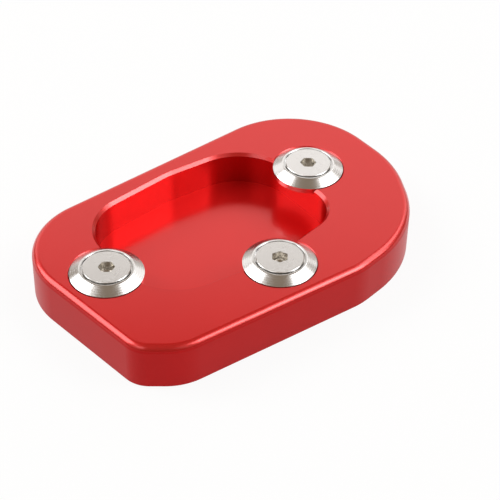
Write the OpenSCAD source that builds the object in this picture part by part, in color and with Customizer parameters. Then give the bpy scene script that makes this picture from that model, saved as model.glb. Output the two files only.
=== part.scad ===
// Kickstand foot enlarger: a milled plate with a pocket for the stand's foot,
// and three screws with conical washers whose rims reach over the foot to hold it.
// Millimetres. +Z is up, +X runs along the plate, and the origin is the middle of the underside.

/* [Plate] */
// Thickness of the plate
plate_t = 10; // [8:0.1:14]
// Radius that rounds the top edge
edge_r = 1.5; // [0.5:0.1:2.5]
// Chamfer that breaks the bottom edge
foot_chamfer = 0.3; // [0.2:0.1:1]
// Flat land between the left washer's seat and the plate's left side
left_land = 3.1; // [2:0.1:10]
// Flat land between the front washer's seat and the plate's front side
front_land = 2.9; // [2:0.1:10]
// Flat land between the right washer's seat and the plate's right side
right_land = 8.8; // [4:0.1:16]
// Width of the rim behind the pocket
back_rim = 5.7; // [3:0.1:12]

/* [Plate corners] */
// Radius of the back left corner
back_left_r = 16.2; // [8:0.1:18]
// How far that corner stays inside the left and back sides
back_left_in = [0, 2.5]; // [0:0.1:4]
// Radius of the left corner, where the left side ends
left_r = 6; // [4:0.1:8]
// How far that corner stays inside the left and front sides
left_in = [3, 3.9]; // [0:0.1:4]
// Radius of the front left corner, where the front side starts
front_left_r = 12.2; // [8:0.1:14]
// How far that corner stays inside the left and front sides
front_left_in = [2.7, 1.1]; // [0:0.1:4]
// Radius of the front right corner, where the front side ends
front_right_r = 17.4; // [10:0.1:20]
// How far that corner stays inside the right and front sides
front_right_in = [10.9, 0]; // [0:0.1:12]
// Radius of the right end's front half
right_front_r = 25; // [20:0.1:25.5]
// How far that half stays inside the right and front sides
right_front_in = [1.1, 0.6]; // [0:0.1:4]
// Radius of the right end's back half
right_back_r = 24; // [18:0.1:25]
// How far that half stays inside the right and back sides
right_back_in = [0, 0.3]; // [0:0.1:4]
// Radius of the back right corner
back_right_r = 19.1; // [10:0.1:22]
// How far that corner stays inside the right and back sides
back_right_in = [0.2, 0]; // [0:0.1:4]

/* [Pocket] */
// Length of the pocket for the stand's foot
pocket_l = 45.2; // [42:0.1:60]
// Width of the pocket, which is also the width of its round belly
pocket_w = 33.4; // [30:0.1:40]
// Floor left under the pocket
floor_t = 2.8; // [1.5:0.1:5]
// Chamfer round the pocket's rim
rim_chamfer = 0.6; // [0.3:0.1:1]
// Radius of the milling cutter, the tightest corner that the pocket can have
cutter_r = 3; // [1.5:0.1:5]
// How far the middle of the belly lies to the right of the pocket's middle
belly_x = 1.5; // [-4:0.1:4]
// Radius of the pocket's back left corner
pocket_back_left_r = 10.9; // [6:0.1:13]
// How far that corner stays inside the pocket's left and back sides
pocket_back_left_in = [0, 1.4]; // [0:0.1:4]
// Radius of the pocket's front left corner
pocket_front_left_r = 11.7; // [6:0.1:13]
// How far that corner stays inside the pocket's left and front sides
pocket_front_left_in = [0, 1]; // [0:0.1:4]
// Radius of the pocket's front right corner
pocket_front_right_r = 8; // [6:0.1:12]
// How far that corner stays inside the pocket's right and front sides
pocket_front_right_in = [0, 2.5]; // [0:0.1:4]
// Radius of the pocket's back right corner
pocket_back_right_r = 12.5; // [6:0.1:14]
// How far that corner stays inside the pocket's right and back sides
pocket_back_right_in = [0.3, 0.5]; // [0:0.1:4]

/* [Screw places] */
// Distance from the pocket's left side out to the left screw
left_screw_out = 3.4; // [3.1:0.1:5]
// Place of the left screw along the pocket's width, from its middle
left_screw_y = -2.2; // [-4:0.1:4]
// Distance from the pocket's front side out to the front screw
front_screw_out = 2.3; // [1.5:0.1:5]
// Place of the front screw along the pocket's length, from its middle
front_screw_x = 3; // [-4:0.1:5]
// Distance from the pocket's right side out to the right screw
right_screw_out = 3.5; // [3.1:0.1:5]
// Place of the right screw along the pocket's width, from its middle
right_screw_y = 1.8; // [-4:0.1:4]
// Wall round the front screw's hole, which stands in the pocket as a boss
boss_wall = 1.5; // [1:0.1:2.5]

/* [Screws] */
// Outer diameter of the thread
thread_d = 5; // [4:0.1:6]
// Diameter of the countersunk head
head_d = 9.4; // [8:0.1:12]
// Height of the straight land at the head's rim
head_land = 0.4; // [0.35:0.05:0.8]
// Chamfer at the head's top edge
head_chamfer = 0.1; // [0.1:0.05:0.3]
// How far a head stands above its washer's ring
head_rise = 0.15; // [0:0.05:0.3]
// Size of the hexagon socket across its flats
socket_af = 3; // [2:0.1:4]
// Depth of the socket down to its drill point
socket_depth = 2; // [1:0.1:3]
// How far the screw's end stays above the underside
tip_inset = 1.4; // [0.4:0.1:3]
// Chamfer at the screw's end
tip_chamfer = 0.6; // [0.3:0.1:1]
// Radial gap between the thread and its hole
thread_gap = 0.05; // [0.02:0.01:0.2]
// Countersink at each end of the screw's hole
hole_chamfer = 0.5; // [0.2:0.1:0.8]
// Turn of the left screw's socket
left_turn = 25; // [0:1:59]
// Turn of the front screw's socket
front_turn = 53; // [0:1:59]
// Turn of the right screw's socket
right_turn = 23; // [0:1:59]

/* [Washers] */
// How far the washers stand above the plate
washer_proud = 1.25; // [1:0.05:2]
// Solid sole between the screw's cone and the washer's underside
sole = 0.05; // [0.05:0.05:1]
// Width of the flat ring round the head
ring_w = 0.7; // [0.6:0.05:2]
// Radius that rounds the ring's outer edge
ring_r = 0.45; // [0.1:0.05:0.6]
// Width of the conical flank
flank_w = 1.6; // [1:0.1:4]
// Radial gap between the head's rim and the washer
head_gap = 0.3; // [0.1:0.05:0.5]
// Depth of the groove that this gap leaves
head_groove = 0.7; // [0.7:0.1:1.5]
// Gap between the head's cone and the washer's cone
cone_gap = 0.03; // [0.01:0.01:0.1]
// Radial gap between the thread and the washer's bore
bore_gap = 0.2; // [0.1:0.05:0.4]
// Small chamfer at the washer's lower rim
washer_chamfer = 0.2; // [0.1:0.05:0.4]
// Radial gap between the washer and its seat in the plate
seat_gap = 0.15; // [0.1:0.05:0.6]
// Chamfer round the washer's seat
seat_chamfer = 0.15; // [0.1:0.05:0.6]

/* [Hidden] */

right_angle = 90;
// Steps in a round edge, and segments in a full turn of the big corners and of turned parts
round_steps = 6;
corner_segments = 72;
turned_segments = 96;
hexagon = 6;
// Cuts run this far past the faces that they open
past = 1;

thread_r = thread_d / 2;
head_r = head_d / 2;
head_h = head_land + head_r - thread_r;
socket_r = socket_af / 2 / cos(180 / hexagon);
// The socket's pilot hole stays just inside its flats, with a drill point of 120 degrees
pilot_r = 0.95 * socket_af / 2;
drill_point = pilot_r * tan(30);

recess_r = head_r + head_gap;
ring_outer_r = recess_r + ring_w;
washer_r = ring_outer_r + flank_w;
washer_h = head_h + sole - head_rise;
bore_r = thread_r + bore_gap;
seat_r = washer_r + seat_gap;
seat_depth = washer_h - washer_proud;
seat_z = plate_t - seat_depth;
ring_z = plate_t + washer_proud;
top_z = ring_z + head_rise;
mouth_r = seat_r + seat_chamfer;

hole_r = thread_r + thread_gap;
boss_r = hole_r + boss_wall;

left_rim = left_screw_out + mouth_r + left_land;
front_rim = front_screw_out + mouth_r + front_land;
right_rim = right_screw_out + mouth_r + right_land;
plate_l = left_rim + pocket_l + right_rim;
plate_w = front_rim + pocket_w + back_rim;
pocket_x = (left_rim - right_rim) / 2;
pocket_y = (front_rim - back_rim) / 2;

left_at = [pocket_x - pocket_l / 2 - left_screw_out, pocket_y + left_screw_y];
front_at = [pocket_x + front_screw_x, pocket_y - pocket_w / 2 - front_screw_out];
right_at = [pocket_x + pocket_l / 2 + right_screw_out, pocket_y + right_screw_y];

// Centre of a corner's circle in a box of the given size: sides is -1 or 1 for left or right,
// and for front or back
function corner_at(size, sides, r, inside) =
    [for (i = [0, 1]) sides[i] * (size[i] / 2 - r - inside[i])];

// Each corner is its sides, its radius and how far it stays inside the box
plate_corners = [
    [[-1, 1], back_left_r, back_left_in],
    [[-1, -1], left_r, left_in],
    [[-1, -1], front_left_r, front_left_in],
    [[1, -1], front_right_r, front_right_in],
    [[1, -1], right_front_r, right_front_in],
    [[1, 1], right_back_r, right_back_in],
    [[1, 1], back_right_r, back_right_in]
];
pocket_corners = [
    [[-1, 1], pocket_back_left_r, pocket_back_left_in],
    [[-1, -1], pocket_front_left_r, pocket_front_left_in],
    [[1, -1], pocket_front_right_r, pocket_front_right_in],
    [[1, 1], pocket_back_right_r, pocket_back_right_in]
];

// Points on a round edge, from one angle to another about a centre
function arc(centre, r, from, to) =
    [for (i = [0:round_steps])
        let (a = from + (to - from) * i / round_steps)
        centre + r * [cos(a), sin(a)]];

// A disc with the plate's rounded top edge and broken bottom edge
module edged_disc(r) {
    rotate_extrude($fn = corner_segments)
        polygon(concat(
            [[0, 0], [r - foot_chamfer, 0], [r, foot_chamfer]],
            arc([r - edge_r, plate_t - edge_r], edge_r, 0, right_angle),
            [[0, plate_t]]));
}

module plate_blank() {
    hull()
        for (c = plate_corners)
            translate(corner_at([plate_l, plate_w], c[0], c[1], c[2]))
                edged_disc(c[1]);
}

// The pocket's outline before the cutter rounds its inner corners
module foot_outline() {
    difference() {
        hull() {
            translate([belly_x, 0])
                circle(d = pocket_w, $fn = corner_segments);
            for (c = pocket_corners)
                translate(corner_at([pocket_l, pocket_w], c[0], c[1], c[2]))
                    circle(r = c[1], $fn = corner_segments);
        }
        translate(front_at - [pocket_x, pocket_y])
            circle(r = boss_r, $fn = corner_segments);
    }
}

// The rim's chamfer is a slope of 45 degrees that starts inside the wall and leaves above the plate
module rim_cut() {
    slope_in = -rim_chamfer;
    slope_out = rim_chamfer + past;
    hull() {
        translate([belly_x, 0, plate_t - 2 * rim_chamfer])
            cylinder(h = slope_out - slope_in, r1 = pocket_w / 2 + slope_in,
                     r2 = pocket_w / 2 + slope_out, $fn = corner_segments);
        for (c = pocket_corners)
            translate(concat(corner_at([pocket_l, pocket_w], c[0], c[1], c[2]),
                             [plate_t - 2 * rim_chamfer]))
                cylinder(h = slope_out - slope_in, r1 = c[1] + slope_in,
                         r2 = c[1] + slope_out, $fn = corner_segments);
    }
}

module pocket_cut() {
    translate([pocket_x, pocket_y, 0]) {
        translate([0, 0, floor_t])
            linear_extrude(plate_t - floor_t + past)
                offset(r = cutter_r, $fn = corner_segments)
                    offset(delta = -cutter_r)
                        foot_outline();
        rim_cut();
    }
}

// A washer's seat and the hole below it, as one turned shape
module screw_cut() {
    rotate_extrude($fn = turned_segments)
        polygon([
            [0, -past],
            [hole_r + hole_chamfer + past, -past],
            [hole_r, hole_chamfer],
            [hole_r, seat_z - hole_chamfer],
            [hole_r + hole_chamfer, seat_z],
            [seat_r, seat_z],
            [seat_r, plate_t - seat_chamfer],
            [mouth_r + past, plate_t + past],
            [0, plate_t + past]
        ]);
}

module base_plate() {
    color([0.78, 0.13, 0.13])
        difference() {
            plate_blank();
            pocket_cut();
            for (at = [left_at, front_at, right_at])
                translate(at)
                    screw_cut();
        }
}

// A washer on the axis of its screw
module washer(at) {
    seat_top = top_z - head_land;
    cone_top_r = head_r + cone_gap;
    cone_foot_z = seat_top - (cone_top_r - bore_r);
    groove_z = ring_z - head_groove;
    // The flank leaves the ring's round edge without a kink
    round_at = [ring_outer_r - ring_r, ring_z - ring_r];
    flank = [washer_r, plate_t] - round_at;
    flank_from = acos(ring_r / norm(flank)) + atan(flank[1] / flank[0]);
    color([0.86, 0.86, 0.87])
        translate(at)
            rotate_extrude($fn = turned_segments)
                polygon(concat(
                    [[bore_r, seat_z],
                     [washer_r - washer_chamfer, seat_z],
                     [washer_r, seat_z + washer_chamfer],
                     [washer_r, plate_t]],
                    arc(round_at, ring_r, flank_from, right_angle),
                    [[recess_r, ring_z],
                     [recess_r, groove_z],
                     [cone_top_r - (seat_top - groove_z), groove_z],
                     [bore_r, cone_foot_z]]));
}

// A countersunk screw with a hexagon socket
module screw(at, turn) {
    socket_z = top_z - socket_depth;
    color([0.74, 0.73, 0.70])
        translate(at)
            difference() {
                rotate_extrude($fn = turned_segments)
                    polygon([
                        [0, tip_inset],
                        [thread_r - tip_chamfer, tip_inset],
                        [thread_r, tip_inset + tip_chamfer],
                        [thread_r, top_z - head_h],
                        [head_r, top_z - head_land],
                        [head_r, top_z - head_chamfer],
                        [head_r - head_chamfer, top_z],
                        [0, top_z]
                    ]);
                translate([0, 0, socket_z])
                    rotate(turn)
                        cylinder(h = socket_depth + past, r = socket_r, $fn = hexagon);
                rotate_extrude($fn = turned_segments)
                    polygon([
                        [0, socket_z - drill_point],
                        [pilot_r, socket_z],
                        [0, socket_z + past]
                    ]);
            }
}

module washer_left() { washer(left_at); }
module washer_front() { washer(front_at); }
module washer_right() { washer(right_at); }
module screw_left() { screw(left_at, left_turn); }
module screw_front() { screw(front_at, front_turn); }
module screw_right() { screw(right_at, right_turn); }

base_plate();
washer_left();
washer_front();
washer_right();
screw_left();
screw_front();
screw_right();
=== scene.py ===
import logging
import math
from dataclasses import dataclass
from enum import Enum
from typing import NamedTuple

import bmesh
import bpy
from mathutils import Matrix, Vector


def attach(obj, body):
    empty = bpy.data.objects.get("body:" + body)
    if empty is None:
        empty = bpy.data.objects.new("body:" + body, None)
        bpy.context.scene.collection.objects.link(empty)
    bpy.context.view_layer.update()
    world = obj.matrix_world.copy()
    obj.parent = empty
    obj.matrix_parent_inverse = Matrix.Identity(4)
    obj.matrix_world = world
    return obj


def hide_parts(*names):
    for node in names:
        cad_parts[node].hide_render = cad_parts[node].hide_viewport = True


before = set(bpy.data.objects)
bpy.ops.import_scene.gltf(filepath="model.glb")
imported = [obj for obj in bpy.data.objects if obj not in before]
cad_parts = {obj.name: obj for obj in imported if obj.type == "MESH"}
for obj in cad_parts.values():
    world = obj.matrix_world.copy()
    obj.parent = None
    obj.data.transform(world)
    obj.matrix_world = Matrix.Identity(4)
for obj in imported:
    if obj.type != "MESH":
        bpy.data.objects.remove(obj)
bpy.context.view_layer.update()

# Meshes are cut in millimetres, in the CAD frame, and brought to metres when they are finished.
MM = 0.001
# Steps in a full turn of outlines and of turned pieces, and in the rounding of a turned edge
OUTLINE_STEPS = 240
TURNED_STEPS = 128
ROUND_STEPS = 8
# The widest bend that is shaded smooth
SMOOTH_BEND = math.radians(30)
# Cutters run this far past the faces that they open (mm)
PAST = 1.0
# Points this near are one point: while a mesh is made, and when all its cuts are done (mm)
WELD = 1e-5
WELD_AFTER_CUTS = 1e-4

log = logging.getLogger("foot_enlarger")


class Side(Enum):
    """The side of a box that a corner lies on, as its sign along that axis."""
    LOW = -1
    HIGH = 1


@dataclass(frozen=True)
class Arc:
    """A stretch of an outline: a circular arc about a centre (mm and radians)."""
    x: float
    y: float
    radius: float
    start: float
    sweep: float


@dataclass(frozen=True)
class Disc:
    """A round corner of an outline (mm)."""
    x: float
    y: float
    radius: float

    def tangent_to(self, other: "Disc") -> float:
        """Find the outward direction in which a straight side touches this disc and the next.

        Args:
            other: the next disc, going anticlockwise.

        Returns:
            The direction from +X, in radians.
        """
        along = math.atan2(other.y - self.y, other.x - self.x)
        apart = math.hypot(other.x - self.x, other.y - self.y)
        return along - math.acos((self.radius - other.radius) / apart)


@dataclass(frozen=True)
class Corner:
    """A round corner, as its radius and how far it stays inside two sides of a box (mm)."""
    x_side: Side
    y_side: Side
    radius: float
    inside: tuple[float, float]

    def disc(self, size: tuple[float, float], centre: tuple[float, float] = (0.0, 0.0)) -> Disc:
        """Place the corner in its outline's box.

        Args:
            size: the box's length and width in mm.
            centre: the box's centre in mm.

        Returns:
            The corner's disc.
        """
        return Disc(centre[0] + self.x_side.value * (size[0] / 2 - self.radius - self.inside[0]),
                    centre[1] + self.y_side.value * (size[1] / 2 - self.radius - self.inside[1]),
                    self.radius)


def wrapped(discs: list[Disc]) -> list[Arc]:
    """Wrap a band round discs, as arcs that straight sides join.

    Args:
        discs: the discs in anticlockwise order, each of which the band touches.

    Returns:
        One arc for each disc.
    """
    arcs = []
    for before, disc, after in zip(discs[-1:] + discs[:-1], discs, discs[1:] + discs[:1]):
        start = before.tangent_to(disc)
        sweep = (disc.tangent_to(after) - start) % math.tau
        arcs.append(Arc(disc.x, disc.y, disc.radius, start, sweep))
    return arcs


def grown(arcs: list[Arc], by: float) -> list[Arc]:
    """Move an outline outwards by a distance in mm; arcs that bend inwards get tighter."""
    return [Arc(a.x, a.y, a.radius + math.copysign(by, a.sweep), a.start, a.sweep) for a in arcs]


def trace(bm: bmesh.types.BMesh, arcs: list[Arc], z: float) -> list[bmesh.types.BMEdge]:
    """Draw a closed outline at a height, by spinning a point about each arc's centre.

    Args:
        bm: the mesh to draw in.
        arcs: the outline's arcs in order.
        z: the height in mm.

    Returns:
        The outline's edges.
    """
    edges: list[bmesh.types.BMEdge] = []
    first = last = None
    for arc in arcs:
        reach = Vector((math.cos(arc.start), math.sin(arc.start), 0.0)) * arc.radius
        point = bm.verts.new(Vector((arc.x, arc.y, z)) + reach)
        if last is not None:
            edges.append(bm.edges.new((last, point)))
        first = first or point
        steps = max(2, round(abs(arc.sweep) / math.tau * OUTLINE_STEPS))
        before = set(bm.edges)
        spun = bmesh.ops.spin(bm, geom=[point], cent=(arc.x, arc.y, z), axis=(0, 0, 1),
                              angle=arc.sweep, steps=steps)
        edges += [e for e in bm.edges if e not in before]
        last = next(v for v in spun["geom_last"] if isinstance(v, bmesh.types.BMVert))
    edges.append(bm.edges.new((last, first)))
    return edges


def turned(bm: bmesh.types.BMesh, profile: list[tuple[float, float]],
           steps: int = TURNED_STEPS) -> None:
    """Turn a profile about the Z axis into a closed solid.

    Args:
        bm: the mesh to turn it in.
        profile: radius and height of each corner in mm, from foot to top.
        steps: how many steps the full turn has.
    """
    points = [bm.verts.new((r, 0.0, z)) for r, z in profile]
    edges = [bm.edges.new(pair) for pair in zip(points, points[1:])]
    if profile[0][0] > 0:
        edges.append(bm.edges.new((points[-1], points[0])))
    bmesh.ops.spin(bm, geom=points + edges, cent=(0, 0, 0), axis=(0, 0, 1), angle=math.tau,
                   steps=steps, use_merge=True)
    bmesh.ops.remove_doubles(bm, verts=bm.verts, dist=WELD)
    bmesh.ops.recalc_face_normals(bm, faces=bm.faces)


def pull(vert: bmesh.types.BMVert, radius: float) -> None:
    """Move a point straight in or out from the Z axis.

    Args:
        vert: the point.
        radius: its new distance from the axis in mm.
    """
    share = radius / math.hypot(vert.co.x, vert.co.y)
    vert.co.x *= share
    vert.co.y *= share


def raise_solid(bm: bmesh.types.BMesh, height: float) -> None:
    """Raise a flat face into a closed solid.

    Args:
        bm: the mesh that holds only this face.
        height: the solid's height in mm.
    """
    up = bmesh.ops.extrude_face_region(bm, geom=bm.faces[:])
    bmesh.ops.translate(bm, vec=(0, 0, height),
                        verts=[v for v in up["geom"] if isinstance(v, bmesh.types.BMVert)])
    bmesh.ops.recalc_face_normals(bm, faces=bm.faces)


def to_object(name: str, bm: bmesh.types.BMesh) -> bpy.types.Object:
    """Put a bmesh in an object of its own and free it.

    Args:
        name: the object's name.
        bm: the bmesh, which is gone afterwards.

    Returns:
        The object.
    """
    mesh = bpy.data.meshes.new(name)
    bm.to_mesh(mesh)
    bm.free()
    thing = bpy.data.objects.new(name, mesh)
    bpy.context.scene.collection.objects.link(thing)
    return thing


def carve(body: bpy.types.Object, cutter: bpy.types.Object) -> None:
    """Cut one closed solid out of another and throw the cutter away.

    Args:
        body: the piece that is cut.
        cutter: the shape that is taken out.
    """
    cut = body.modifiers.new("cut", "BOOLEAN")
    cut.object = cutter
    cut.operation = "DIFFERENCE"
    cut.solver = "EXACT"
    done = body.evaluated_get(bpy.context.evaluated_depsgraph_get())
    mesh = bpy.data.meshes.new_from_object(done)
    body.modifiers.clear()
    body.data = mesh
    bpy.data.objects.remove(cutter)


def finish_piece(body: bpy.types.Object, node: str, material: bpy.types.Material) -> None:
    """Bring a piece to metres, shade its bends, dress it and tie it to the CAD frame.

    Args:
        body: the piece, cut in mm.
        node: the CAD node that it stands for.
        material: its finish.
    """
    bm = bmesh.new()
    bm.from_mesh(body.data)
    bmesh.ops.remove_doubles(bm, verts=bm.verts, dist=WELD_AFTER_CUTS)
    bmesh.ops.scale(bm, vec=(MM, MM, MM), verts=bm.verts)
    for face in bm.faces:
        face.smooth = True
    for edge in bm.edges:
        edge.smooth = len(edge.link_faces) == 2 and edge.calc_face_angle(math.pi) < SMOOTH_BEND
    bm.to_mesh(body.data)
    bm.free()
    weighted = body.modifiers.new("flat faces stay flat", "WEIGHTED_NORMAL")
    weighted.keep_sharp = True
    body.data.materials.clear()
    body.data.materials.append(material)
    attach(body, "root")
    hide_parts(node)
    log.info("%s: %d faces, stands for %s", body.name, len(body.data.polygons), node)


def linear(colour: str) -> tuple[float, float, float, float]:
    """Turn an sRGB hex colour into linear red, green, blue and alpha."""
    parts = [int(colour[i:i + 2], 16) / 255 for i in (1, 3, 5)]
    return (*(p / 12.92 if p <= 0.04045 else ((p + 0.055) / 1.055) ** 2.4 for p in parts), 1.0)


def add_node(tree: bpy.types.NodeTree, kind: str, values: dict | None = None,
             links: dict | None = None, **settings: object) -> bpy.types.Node:
    """Add a node with its settings, input values and incoming links.

    Args:
        tree: the tree to add it to.
        kind: the node's type name.
        values: input names or numbers with their values.
        links: input names or numbers with the outputs that feed them.
        settings: the node's own properties.

    Returns:
        The new node.
    """
    node = tree.nodes.new(kind)
    for name, value in settings.items():
        setattr(node, name, value)
    for name, value in (values or {}).items():
        node.inputs[name].default_value = value
    for name, output in (links or {}).items():
        tree.links.new(output, node.inputs[name])
    return node


@dataclass(frozen=True)
class Finish:
    """How a metal's surface was made, and the colour that this gave it."""
    name: str
    colour: str

    def start(self) -> tuple[bpy.types.Material, bpy.types.Node, bpy.types.NodeSocket]:
        """Start the material with its metal shader and its place on the object.

        Returns:
            The material, its shader and the socket that gives Object coordinates.
        """
        material = bpy.data.materials.new(self.name)
        material.use_nodes = True
        tree = material.node_tree
        tree.nodes.clear()
        place = add_node(tree, "ShaderNodeTexCoord")
        shader = add_node(tree, "ShaderNodeBsdfPrincipled",
                          {"Base Color": linear(self.colour), "Metallic": 1.0})
        add_node(tree, "ShaderNodeOutputMaterial", links={"Surface": shader.outputs["BSDF"]})
        return material, shader, place.outputs["Object"]


class RedFace(NamedTuple):
    """How one kind of face on the red plate looks: its dye's colour with painted shade, shares of metal
    and oxide, and roughness.
    """
    shade: float
    metal: float
    roughness: float
    oxide: float


@dataclass(frozen=True)
class RedAnodised(Finish):
    """Milled aluminium, dyed and sealed: red metal that shines through a clear, hard oxide.

    The dyed metal gives a soft red mirror image and the oxide a thin, sharper one without colour.
    The dye also scatters some light, which keeps the flat faces an even red. The outer sides were
    blasted dull. The pocket's walls are as the end mill's flank burnished them, and mirror the
    pocket's floor and the lamps in it. The dye's colour is painted face by face: painted shade
    darkens the outer sides and the pocket's walls, and the pocket's floor is lighter than the top.
    """
    # The first number of each face is its dye's colour with painted shade: the outer sides and the
    # pocket's walls darker, the pocket's floor lighter than the top
    top: RedFace = RedFace(1.05, 0.6, 0.33, 0.68)
    pocket_floor: RedFace = RedFace(1.15, 0.6, 0.33, 0.72)
    round_edge: RedFace = RedFace(1.05, 0.6, 0.33, 1.0)
    outer_side: RedFace = RedFace(0.7, 0.3, 0.3, 0.07)
    pocket_wall: RedFace = RedFace(0.76, 0.8, 0.24, 0.35)
    # Slope of the normal where the sides end and where the rounded edges do
    side_to: tuple[float, float] = (0.3, 0.6)
    edge_to: tuple[float, float] = (0.93, 0.99)
    # Height between the pocket's floor and the top (mm)
    middle_z: float = 6.0
    middle_blend: float = 0.1
    # Middle and half size of an oval between the pocket's walls and the outer sides (mm)
    oval_centre: tuple[float, float] = (-2.9, 3.55)
    oval_half: tuple[float, float] = (30.0, 21.3)
    oval_blend: float = 0.01
    # Aluminium oxide, sealed in hot water
    oxide_index: float = 1.76
    oxide_roughness: float = 0.2
    # Dye takes a little unevenly over some 12 mm, and gives patches 4 % lighter or darker
    dye_patch: float = 12.0
    dye_change: float = 0.04
    # Blasting before the bath left pits of 0.12 mm, which change the gloss by 6 %
    pit: float = 0.12
    pit_change: float = 0.06

    def material(self) -> bpy.types.Material:
        """Make the finish.

        Returns:
            The material.
        """
        material, shader, where = self.start()
        tree = material.node_tree
        shader.inputs["Specular Tint"].default_value = linear(self.colour)
        shader.inputs["Coat IOR"].default_value = self.oxide_index
        shader.inputs["Coat Roughness"].default_value = self.oxide_roughness
        normal = add_node(tree, "ShaderNodeTexCoord").outputs["Normal"]
        upward = add_node(tree, "ShaderNodeSeparateXYZ", links={0: normal})
        slope = add_node(tree, "ShaderNodeMath", links={0: upward.outputs["Z"]}, operation="ABSOLUTE")
        height = add_node(tree, "ShaderNodeSeparateXYZ", links={0: where})
        out = add_node(tree, "ShaderNodeVectorMath", {1: (*(c * MM for c in self.oval_centre), 0.0)},
                       {0: where}, operation="SUBTRACT")
        share = add_node(tree, "ShaderNodeVectorMath",
                         {1: (*(1 / (h * MM) for h in self.oval_half), 0.0)},
                         {0: out.outputs[0]}, operation="MULTIPLY")
        reach = add_node(tree, "ShaderNodeVectorMath", links={0: share.outputs[0]}, operation="LENGTH")

        def by_face(name: str) -> bpy.types.NodeSocket:
            """Tell the five kinds of face apart and give each its own value.

            Args:
                name: the value's name in RedFace.

            Returns:
                The socket with the value of the face that is being shaded.
            """
            side = add_node(tree, "ShaderNodeMapRange",
                            {"From Min": 1 - self.oval_blend, "From Max": 1 + self.oval_blend,
                             "To Min": getattr(self.pocket_wall, name),
                             "To Max": getattr(self.outer_side, name)},
                            {"Value": reach.outputs["Value"]})
            level = add_node(tree, "ShaderNodeMapRange",
                             {"From Min": (self.middle_z - self.middle_blend) * MM,
                              "From Max": (self.middle_z + self.middle_blend) * MM,
                              "To Min": getattr(self.pocket_floor, name),
                              "To Max": getattr(self.top, name)},
                             {"Value": height.outputs["Z"]})
            edge = add_node(tree, "ShaderNodeMapRange",
                            {"From Min": self.side_to[0], "From Max": self.side_to[1],
                             "To Max": getattr(self.round_edge, name)},
                            {"Value": slope.outputs[0], "To Min": side.outputs[0]})
            face = add_node(tree, "ShaderNodeMapRange",
                            {"From Min": self.edge_to[0], "From Max": self.edge_to[1]},
                            {"Value": slope.outputs[0], "To Min": edge.outputs[0],
                             "To Max": level.outputs[0]})
            return face.outputs[0]

        tree.links.new(by_face("metal"), shader.inputs["Metallic"])
        tree.links.new(by_face("oxide"), shader.inputs["Coat Weight"])
        dye = add_node(tree, "ShaderNodeTexNoise", {"Scale": 1 / (self.dye_patch * MM), "Detail": 2.0},
                       {"Vector": where})
        patches = add_node(tree, "ShaderNodeMapRange",
                           {"To Min": 1 - self.dye_change, "To Max": 1 + self.dye_change},
                           {"Value": dye.outputs["Fac"]})
        # The dye's random patches, times each face's share of the dye with its painted shade
        shade = add_node(tree, "ShaderNodeMath", links={0: patches.outputs[0], 1: by_face("shade")},
                         operation="MULTIPLY")
        toned = add_node(tree, "ShaderNodeVectorMath", {0: linear(self.colour)[:3]},
                         {1: shade.outputs[0]}, operation="MULTIPLY")
        tree.links.new(toned.outputs[0], shader.inputs["Base Color"])
        pits = add_node(tree, "ShaderNodeTexNoise", {"Scale": 1 / (self.pit * MM), "Detail": 1.0},
                        {"Vector": where})
        grain = add_node(tree, "ShaderNodeMapRange",
                         {"To Min": 1 - self.pit_change, "To Max": 1 + self.pit_change},
                         {"Value": pits.outputs["Fac"]})
        gloss = add_node(tree, "ShaderNodeMath", links={0: by_face("roughness"), 1: grain.outputs[0]},
                         operation="MULTIPLY")
        tree.links.new(gloss.outputs[0], shader.inputs["Roughness"])
        return material


@dataclass(frozen=True)
class TurnedMetal(Finish):
    """Bare metal from the lathe: bright, with fine rings that the tool's feed left.

    The rings draw each highlight out across them, from the axis to the rim.
    """
    roughness: float
    # The real feed is some 0.05 mm; it is drawn at 0.4 mm, the finest that the picture can show
    feed: float = 0.4
    ring_depth: float = 0.003
    # Wear and cleaning changed the gloss by 15 % in patches of some 0.8 mm
    wear_patch: float = 0.8
    wear_change: float = 0.15
    # Darker, warmer colour below the turned top, which paints shade into the socket and under the head's
    # rim, and where it ends (mm)
    scale: str | None = None
    painted_shade_z: tuple[float, float] = (11.1, 11.35)

    def material(self, centre: tuple[float, float]) -> bpy.types.Material:
        """Make the finish for a piece that was turned about an upright axis.

        Args:
            centre: the axis in mm.

        Returns:
            The material.
        """
        material, shader, where = self.start()
        tree = material.node_tree
        about = add_node(tree, "ShaderNodeMapping",
                         {"Location": (-centre[0] * MM, -centre[1] * MM, 0.0)}, {"Vector": where})
        # A wave texture of scale 1 has a wave every tau / 20 units
        rings = add_node(tree, "ShaderNodeTexWave",
                         {"Scale": math.tau / 20 / (self.feed * MM), "Distortion": 0.6, "Detail": 1.0,
                          "Detail Scale": 3.0},
                         {"Vector": about.outputs[0]}, wave_type="RINGS", rings_direction="Z")
        # Painted shade: below the turned top the colour turns darker and warmer
        if self.scale:
            height = add_node(tree, "ShaderNodeSeparateXYZ", links={0: where})
            unshaded = add_node(tree, "ShaderNodeMapRange",
                            {"From Min": self.painted_shade_z[0] * MM, "From Max": self.painted_shade_z[1] * MM},
                            {"Value": height.outputs["Z"]})
            # Inputs 6 and 7 and output 2 are the node's colours
            toned = add_node(tree, "ShaderNodeMix", {6: linear(self.scale), 7: linear(self.colour)},
                             {0: unshaded.outputs[0]}, data_type="RGBA")
            tree.links.new(toned.outputs[2], shader.inputs["Base Color"])
        wear = add_node(tree, "ShaderNodeTexNoise", {"Scale": 1 / (self.wear_patch * MM), "Detail": 3.0},
                        {"Vector": about.outputs[0]})
        gloss = add_node(tree, "ShaderNodeMapRange",
                         {"To Min": self.roughness * (1 - self.wear_change),
                          "To Max": self.roughness * (1 + self.wear_change)},
                         {"Value": wear.outputs["Fac"]})
        tree.links.new(gloss.outputs[0], shader.inputs["Roughness"])
        bump = add_node(tree, "ShaderNodeBump", {"Strength": 1.0, "Distance": self.ring_depth * MM},
                        {"Height": rings.outputs["Fac"]})
        tree.links.new(bump.outputs[0], shader.inputs["Normal"])
        return material


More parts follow.
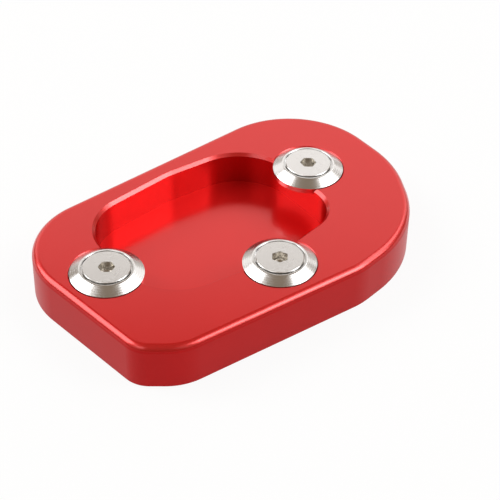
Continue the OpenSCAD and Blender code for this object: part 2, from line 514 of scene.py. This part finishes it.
@dataclass(frozen=True)
class Thread:
    """A metric coarse thread's basic profile, M5 (mm)."""
    diameter: float = 5.0
    pitch: float = 0.8
    # How many rings of points a pitch has
    rings: int = 8

    def radius(self, point: Vector, deep: float) -> float:
        """Find the thread's radius at a point beside its axis.

        Args:
            point: the point in mm, from the axis.
            deep: how far the groove goes below the crest.

        Returns:
            The radius in mm.
        """
        turn = math.atan2(point.y, point.x) / math.tau
        phase = abs((point.z / self.pitch - turn) % 1.0 - 0.5)
        # The crest is an eighth of the pitch wide, and the flanks stand at 60 degrees
        flank = max(0.0, phase - 1 / 16) * self.pitch * math.sqrt(3)
        return self.diameter / 2 - min(deep, flank)

    def heights(self, low: float, high: float) -> list[float]:
        """List heights from low to high, a fraction of the pitch apart."""
        count = round((high - low) / self.pitch * self.rings)
        return [low + (high - low) * i / count for i in range(count + 1)]


@dataclass(frozen=True)
class ScrewPlace:
    """Where a screw stands and how its socket is turned (mm and degrees)."""
    name: str
    x: float
    y: float
    turn: float

    def move(self, bm: bmesh.types.BMesh) -> None:
        """Turn and move a mesh from the axis to this place."""
        bmesh.ops.rotate(bm, verts=bm.verts, cent=(0, 0, 0),
                         matrix=Matrix.Rotation(math.radians(self.turn), 3, "Z"))
        bmesh.ops.translate(bm, verts=bm.verts, vec=(self.x, self.y, 0.0))


@dataclass(frozen=True)
class Fastening:
    """A countersunk screw in its conical washer, as sizes in mm that they share with the plate."""
    thread: Thread = Thread()
    # Heights of the head, of the washer's flat ring, of the plate and of the washer's seat
    top_z: float = 11.4
    ring_z: float = 11.25
    plate_z: float = 10.0
    seat_z: float = 8.75
    # The screw's head and its socket. The socket's drill was a little smaller than the flats
    head_r: float = 4.7
    head_land: float = 0.4
    head_chamfer: float = 0.1
    socket_flats: float = 3.0
    socket_depth: float = 2.0
    drill_share: float = 0.95
    drill_steps: int = 96
    # The screw's end, and how far the thread stays from it and from the head
    tip_z: float = 1.4
    tip_chamfer: float = 0.6
    thread_end: float = 0.02
    thread_neck: float = 0.3
    # The washer, from its recess for the head out to its rim
    bore_r: float = 2.7
    cone_gap: float = 0.03
    recess_r: float = 5.0
    recess_edge: float = 0.06
    head_groove: float = 0.7
    ring_r: float = 5.7
    ring_round: float = 0.45
    washer_r: float = 7.3
    washer_edge: float = 0.2
    # The seat and the tapped hole in the plate
    seat_r: float = 7.45
    seat_chamfer: float = 0.15
    hole_chamfer: float = 0.5
    hole_steps: int = 64
    # Depth of the thread's groove on the screw and in the hole, and the room between the two
    outer_groove: float = 0.49
    inner_groove: float = 0.43
    thread_gap: float = 0.02
    # The thread's points lie this far inside the shank until they are cut, which tells them apart
    thread_mark: float = 0.001

    def seat_cutter(self, place: ScrewPlace) -> bpy.types.Object:
        """Make the cutter for a washer's round seat, with its broken edge.

        Args:
            place: where the washer stands.

        Returns:
            The cutter.
        """
        bm = bmesh.new()
        edge_r = self.seat_r + self.seat_chamfer
        turned(bm, [(0.0, self.seat_z), (self.seat_r, self.seat_z),
                    (self.seat_r, self.plate_z - self.seat_chamfer),
                    (edge_r + PAST, self.plate_z + PAST), (0.0, self.plate_z + PAST)])
        place.move(bm)
        return to_object("seat cutter", bm)

    def tap(self, place: ScrewPlace) -> bpy.types.Object:
        """Make the cutter for a tapped hole, countersunk at both ends.

        Args:
            place: where the screw stands.

        Returns:
            The cutter.
        """
        thread = self.thread
        shank_r = thread.diameter / 2
        foot, head = -PAST, self.seat_z + PAST / 2
        bm = bmesh.new()
        turned(bm, [(0.0, foot)] + [(shank_r, z) for z in thread.heights(foot, head)] + [(0.0, head)],
               self.hole_steps)
        mouth_r = shank_r + self.hole_chamfer
        for vert in bm.verts:
            if math.hypot(vert.co.x, vert.co.y) > WELD:
                # Each end's countersink is wider than the thread near that end
                low_cone = mouth_r - max(vert.co.z, -PAST / 2)
                high_cone = mouth_r - (self.seat_z - min(vert.co.z, self.seat_z))
                groove = thread.radius(vert.co, self.inner_groove) + self.thread_gap
                pull(vert, max(groove, low_cone, high_cone))
        place.move(bm)
        return to_object("tap", bm)

    def washer(self, place: ScrewPlace, finish: TurnedMetal) -> None:
        """Turn a washer, whose flank leaves its rounded ring without a kink, and dress it.

        Args:
            place: where it stands.
            finish: its finish.
        """
        groove_z = self.ring_z - self.head_groove
        cone_r = self.head_r + self.cone_gap - (self.top_z - self.head_land - groove_z)
        r, z = self.ring_r - self.ring_round, self.ring_z - self.ring_round
        out, down = self.washer_r - r, z - self.plate_z
        start = math.acos(self.ring_round / math.hypot(out, down)) - math.atan2(down, out)
        turns = [start + (math.pi / 2 - start) * i / ROUND_STEPS for i in range(ROUND_STEPS + 1)]
        bm = bmesh.new()
        turned(bm, [(self.bore_r, self.seat_z), (self.washer_r - self.washer_edge, self.seat_z),
                    (self.washer_r, self.seat_z + self.washer_edge), (self.washer_r, self.plate_z)]
               + [(r + self.ring_round * math.cos(a), z + self.ring_round * math.sin(a)) for a in turns]
               + [(self.recess_r + self.recess_edge, self.ring_z),
                  (self.recess_r, self.ring_z - self.recess_edge),
                  (self.recess_r, groove_z), (cone_r, groove_z),
                  (self.bore_r, groove_z - (cone_r - self.bore_r))])
        place.move(bm)
        washer = to_object(f"turned_washer_{place.name}", bm)
        finish_piece(washer, f"washer_{place.name}",
                     finish.material((place.x, place.y)))

    def threaded_blank(self) -> bmesh.types.BMesh:
        """Turn a screw without its socket, on the axis, and cut its thread.

        Returns:
            The mesh.
        """
        thread = self.thread
        shank_r = thread.diameter / 2
        land_z = self.top_z - self.head_land
        neck_z = land_z - (self.head_r - shank_r)
        bm = bmesh.new()
        heights = thread.heights(self.tip_z + self.thread_end, neck_z - self.thread_neck)
        turned(bm, [(0.0, self.tip_z), (shank_r - self.tip_chamfer, self.tip_z)]
               + [(shank_r - self.thread_mark, z) for z in heights]
               + [(shank_r, neck_z), (self.head_r, land_z), (self.head_r, self.top_z - self.head_chamfer),
                  (self.head_r - self.head_chamfer, self.top_z), (0.0, self.top_z)])
        for vert in bm.verts:
            inside = shank_r - math.hypot(vert.co.x, vert.co.y)
            if abs(inside - self.thread_mark) < self.thread_mark / 2:
                tip = shank_r - self.tip_chamfer + vert.co.z - self.tip_z
                pull(vert, min(thread.radius(vert.co, self.outer_groove), tip))
        return bm

    def screw(self, place: ScrewPlace, finish: TurnedMetal) -> None:
        """Make a screw, cut its hexagon socket, and dress it.

        Args:
            place: where it stands.
            finish: its finish.
        """
        screw = to_object(f"socket_screw_{place.name}", self.threaded_blank())
        socket_z = self.top_z - self.socket_depth
        sixth = math.pi / 6
        bm = bmesh.new()
        bmesh.ops.create_circle(
            bm, cap_ends=True, segments=6, radius=self.socket_flats / 2 / math.cos(sixth),
            matrix=Matrix.Translation((0, 0, socket_z)) @ Matrix.Rotation(sixth, 4, "Z"))
        raise_solid(bm, self.socket_depth + PAST)
        carve(screw, to_object("socket cutter", bm))
        # A drill with a tip of 120 degrees opened the socket
        drill_r = self.drill_share * self.socket_flats / 2
        bm = bmesh.new()
        turned(bm, [(0.0, socket_z - drill_r * math.tan(sixth)), (drill_r, socket_z),
                    (0.0, socket_z + PAST)], self.drill_steps)
        carve(screw, to_object("drill", bm))
        bm = bmesh.new()
        bm.from_mesh(screw.data)
        place.move(bm)
        bm.to_mesh(screw.data)
        bm.free()
        finish_piece(screw, f"screw_{place.name}",
                     finish.material((place.x, place.y)))


@dataclass(frozen=True)
class Plate:
    """The milled plate (mm)."""
    size: tuple[float, float] = (79.2, 51.9)
    thickness: float = 10.0
    edge_round: float = 1.5
    edge_steps: int = 10
    foot_chamfer: float = 0.3
    # The outline's corners, anticlockwise from the back left
    corners: tuple[Corner, ...] = (
        Corner(Side.LOW, Side.HIGH, 16.2, (0.0, 2.5)),
        Corner(Side.LOW, Side.LOW, 6.0, (3.0, 3.9)),
        Corner(Side.LOW, Side.LOW, 12.2, (2.7, 1.1)),
        Corner(Side.HIGH, Side.LOW, 17.4, (10.9, 0.0)),
        Corner(Side.HIGH, Side.LOW, 25.0, (1.1, 0.6)),
        Corner(Side.HIGH, Side.HIGH, 24.0, (0.0, 0.3)),
        Corner(Side.HIGH, Side.HIGH, 19.1, (0.2, 0.0)))
    # The pocket, its corners, and how far the middle of its belly lies to the right of its own
    pocket_size: tuple[float, float] = (45.2, 33.4)
    pocket_centre: tuple[float, float] = (-2.9, 3.55)
    pocket_back_left: Corner = Corner(Side.LOW, Side.HIGH, 10.9, (0.0, 1.4))
    pocket_front_left: Corner = Corner(Side.LOW, Side.LOW, 11.7, (0.0, 1.0))
    pocket_front_right: Corner = Corner(Side.HIGH, Side.LOW, 8.0, (0.0, 2.5))
    pocket_back_right: Corner = Corner(Side.HIGH, Side.HIGH, 12.5, (0.3, 0.5))
    belly: float = 1.5
    floor: float = 2.8
    rim_chamfer: float = 0.6
    # The milling cutter, and the boss that it went round
    cutter_r: float = 3.0
    boss_r: float = 4.05

    def pocket(self, boss: ScrewPlace) -> list[Arc]:
        """Draw the pocket's outline, which goes round the boss of the front screw.

        Args:
            boss: the screw that the boss is about.

        Returns:
            Its arcs, anticlockwise from the back left corner.
        """
        belly = Disc(self.pocket_centre[0] + self.belly, self.pocket_centre[1], self.pocket_size[1] / 2)
        back_left, before, after, back_right = (
            c.disc(self.pocket_size, self.pocket_centre) for c in (
                self.pocket_back_left, self.pocket_front_left, self.pocket_front_right,
                self.pocket_back_right))
        arcs = wrapped([back_left, before, belly, after, back_right, belly])
        return arcs[:2] + self.round_boss(before, belly, after, boss) + arcs[3:]

    def round_boss(self, before: Disc, belly: Disc, after: Disc, boss: ScrewPlace) -> list[Arc]:
        """Lead the pocket's front wall round the boss, with corners as tight as the cutter.

        Args:
            before: the pocket's corner before the boss.
            belly: the round belly that the boss interrupts.
            after: the pocket's corner after the boss.
            boss: the screw that the boss is about.

        Returns:
            The corner before the boss, the boss and the corner after it.
        """
        middle = Vector((boss.x, boss.y))
        reach = self.boss_r + self.cutter_r
        ends = []
        for sign, first, second in ((-1, before, belly), (1, belly, after)):
            out = first.tangent_to(second)
            normal = Vector((math.cos(out), math.sin(out)))
            wall = normal.dot((first.x, first.y)) + first.radius
            inward = wall - self.cutter_r - normal.dot(middle)
            along = sign * math.sqrt(reach ** 2 - inward ** 2)
            centre = middle + normal * inward + Vector((-normal.y, normal.x)) * along
            ends.append((centre, out, math.atan2(boss.y - centre.y, boss.x - centre.x)))
        (left, left_wall, left_boss), (right, right_wall, right_boss) = ends
        return [
            Arc(left.x, left.y, self.cutter_r, left_wall, (left_boss - left_wall) % math.tau),
            Arc(boss.x, boss.y, self.boss_r, left_boss + math.pi, -((left_boss - right_boss) % math.tau)),
            Arc(right.x, right.y, self.cutter_r, right_boss, (right_wall - right_boss) % math.tau)]

    def blank(self) -> bpy.types.Object:
        """Saw out the plate, round its top edge and break its bottom edge.

        Returns:
            The plate, before it is milled.
        """
        bm = bmesh.new()
        outline = wrapped([c.disc(self.size) for c in self.corners])
        bmesh.ops.edgeloop_fill(bm, edges=trace(bm, outline, 0.0))
        raise_solid(bm, self.thickness)
        for z, offset, segments in ((self.thickness, self.edge_round, self.edge_steps),
                                    (0.0, self.foot_chamfer, 1)):
            rim = [e for e in bm.edges if all(abs(v.co.z - z) < WELD for v in e.verts)]
            bmesh.ops.bevel(bm, geom=rim, offset=offset, offset_type="OFFSET", segments=segments,
                            profile=0.5, affect="EDGES", clamp_overlap=False, material=-1)
        return to_object("milled_plate", bm)

    def pocket_cutter(self, boss: ScrewPlace) -> bpy.types.Object:
        """Make the pocket's cutter, which flares at the rim to cut its chamfer.

        Args:
            boss: the screw whose boss the pocket goes round.

        Returns:
            The cutter.
        """
        bm = bmesh.new()
        arcs = self.pocket(boss)
        flare = self.rim_chamfer + PAST / 2
        loops = [trace(bm, arcs, self.floor), trace(bm, arcs, self.thickness - self.rim_chamfer),
                 trace(bm, grown(arcs, flare), self.thickness + PAST / 2)]
        for low, high in zip(loops, loops[1:]):
            bmesh.ops.bridge_loops(bm, edges=low + high)
        bmesh.ops.edgeloop_fill(bm, edges=loops[0])
        bmesh.ops.edgeloop_fill(bm, edges=loops[-1])
        bmesh.ops.recalc_face_normals(bm, faces=bm.faces)
        return to_object("pocket cutter", bm)

    def build(self, fastening: Fastening, places: list[ScrewPlace], finish: RedAnodised) -> None:
        """Mill the plate and dress it.

        Args:
            fastening: the screws and washers that it takes.
            places: where they stand; the second is the one with a boss.
            finish: the plate's finish.
        """
        plate = self.blank()
        carve(plate, self.pocket_cutter(places[1]))
        for place in places:
            carve(plate, fastening.seat_cutter(place))
            carve(plate, fastening.tap(place))
        finish_piece(plate, "base_plate", finish.material())


@dataclass(frozen=True)
class Softbox:
    """A soft studio lamp that faces the object, placed from the camera's side (degrees, metres)."""
    name: str
    azimuth: float
    elevation: float
    distance: float
    width: float
    height: float
    radiance: float

    def hang(self, view_azimuth: float) -> None:
        """Hang the lamp.

        Args:
            view_azimuth: the camera's direction from +X, in degrees.
        """
        lamp = bpy.data.lights.new(self.name, "AREA")
        lamp.shape = "RECTANGLE"
        lamp.size = self.width
        lamp.size_y = self.height
        lamp.energy = self.radiance * math.pi * self.width * self.height
        turn = math.radians(view_azimuth + self.azimuth)
        rise = math.radians(self.elevation)
        out = Vector((math.cos(turn) * math.cos(rise), math.sin(turn) * math.cos(rise), math.sin(rise)))
        hung = bpy.data.objects.new(self.name, lamp)
        hung.location = out * self.distance
        hung.rotation_euler = out.to_track_quat("Z", "Y").to_euler()
        hung.visible_camera = False
        bpy.context.scene.collection.objects.link(hung)


@dataclass(frozen=True)
class Studio:
    """The camera, the floor and the light (metres and degrees)."""
    # The camera, as fitted to the photograph; its lens in mm
    target: tuple[float, float, float] = (-0.00246, -0.00917, 0.01)
    distance: float = 0.30887
    elevation: float = 40.23
    azimuth: float = -127.0
    roll: float = 1.18
    focal: float = 113.49
    sensor: float = 36.0
    nearest: float = 0.01
    # The floor lies just below the plate; the share that shows plain white keeps the rest for shadow
    floor_size: float = 6.0
    floor_gap: float = 0.0001
    floor_white: float = 0.92
    floor_paper: str = "#f2f2f2"
    ambient: str = "#80705f"

    def camera(self) -> None:
        """Set up the camera at the photograph's viewing angle."""
        data = bpy.data.cameras.new("camera")
        data.sensor_fit = "HORIZONTAL"
        data.sensor_width = self.sensor
        data.lens = self.focal
        data.clip_start = self.nearest
        camera = bpy.data.objects.new("camera", data)
        turn = math.radians(self.azimuth)
        rise = math.radians(self.elevation)
        back = Vector((math.cos(turn) * math.cos(rise), math.sin(turn) * math.cos(rise), math.sin(rise)))
        right = Vector((0, 0, 1)).cross(back).normalized()
        facing = Matrix((right, back.cross(right), back)).transposed()
        facing = facing @ Matrix.Rotation(math.radians(self.roll), 3, "Z")
        stand = Matrix.Translation(Vector(self.target) + back * self.distance)
        camera.matrix_world = stand @ facing.to_4x4()
        bpy.context.scene.collection.objects.link(camera)
        bpy.context.scene.camera = camera

    def floor(self) -> None:
        """Lay a plain pale floor that shows white to the camera and keeps a faint shadow."""
        bm = bmesh.new()
        bmesh.ops.create_grid(bm, x_segments=1, y_segments=1, size=self.floor_size / 2,
                              matrix=Matrix.Translation((0, 0, -self.floor_gap)))
        floor = to_object("floor", bm)
        material = bpy.data.materials.new("white paper")
        material.use_nodes = True
        tree = material.node_tree
        tree.nodes.clear()
        paper = add_node(tree, "ShaderNodeBsdfDiffuse", {"Color": linear(self.floor_paper)})
        white = add_node(tree, "ShaderNodeEmission", {"Color": (1.0, 1.0, 1.0, 1.0), "Strength": 1.0})
        path = add_node(tree, "ShaderNodeLightPath")
        glossy = add_node(tree, "ShaderNodeMath", links={0: path.outputs["Is Camera Ray"],
                                                         1: path.outputs["Is Glossy Ray"]},
                          operation="ADD")
        clear = add_node(tree, "ShaderNodeMath", links={0: glossy.outputs[0],
                                                        1: path.outputs["Is Transmission Ray"]},
                         operation="ADD", use_clamp=True)
        share = add_node(tree, "ShaderNodeMath", {1: self.floor_white}, {0: clear.outputs[0]},
                         operation="MULTIPLY")
        seen = add_node(tree, "ShaderNodeMixShader", links={0: share.outputs[0], 1: paper.outputs[0],
                                                            2: white.outputs[0]})
        add_node(tree, "ShaderNodeOutputMaterial", links={"Surface": seen.outputs[0]})
        floor.data.materials.append(material)

    def light(self) -> None:
        """Hang the lamps and fill the room with plain, dim, warm light."""
        # Each with its azimuth, elevation, distance, width, height and radiance
        boxes = [
            Softbox("left softbox", -78, 45, 0.8, 1.5, 0.6, 0.26),
            Softbox("left lamp", -101, 41, 0.8, 0.5, 0.62, 2.5),
            Softbox("left bulb", -101, 41, 0.8, 0.26, 0.32, 4.3),
            Softbox("right softbox", 78, 45, 0.8, 1.5, 0.6, 0.26),
            Softbox("right lamp", 82, 42, 0.8, 0.5, 0.62, 1.8),
            Softbox("right bulb", 80, 42, 0.8, 0.26, 0.32, 3.2),
            Softbox("back paper", 180, 30, 0.9, 1.75, 0.44, 0.86),
            Softbox("low back paper", 180, 6, 0.9, 1.5, 0.38, 0.3),
            Softbox("right wing paper", 128, 45, 0.9, 0.5, 0.34, 1.7),
            Softbox("left wing paper", -40, 50, 0.9, 0.35, 0.35, 0.8)]
        for box in boxes:
            box.hang(self.azimuth)
        world = bpy.data.worlds.new("studio")
        bpy.context.scene.world = world
        world.use_nodes = True
        tree = world.node_tree
        tree.nodes.clear()
        room = add_node(tree, "ShaderNodeBackground", {"Color": linear(self.ambient)})
        add_node(tree, "ShaderNodeOutputWorld", links={"Surface": room.outputs[0]})


def main() -> None:
    """Build the studio and the object, piece by piece."""
    logging.basicConfig(level=logging.INFO, format="%(name)s: %(message)s")
    bpy.context.scene.view_settings.view_transform = "Standard"
    studio = Studio()
    studio.camera()
    studio.floor()
    studio.light()
    places = [ScrewPlace("left", -28.9, 1.35, 25.0), ScrewPlace("front", 0.1, -15.45, 53.0),
              ScrewPlace("right", 23.2, 5.35, 23.0)]
    fastening = Fastening()
    red = RedAnodised("red anodised aluminium", "#dc1819")
    bright = TurnedMetal("turned aluminium", "#f0f1f2", 0.21)
    # The steel's darker colour below its top is painted shade in the socket and under the head
    steel = TurnedMetal("turned stainless steel", "#f2f3f4", 0.26, scale="#dfdcd6")
    Plate().build(fastening, places, red)
    for place in places:
        fastening.washer(place, bright)
        fastening.screw(place, steel)


if __name__ == "__main__":
    main()
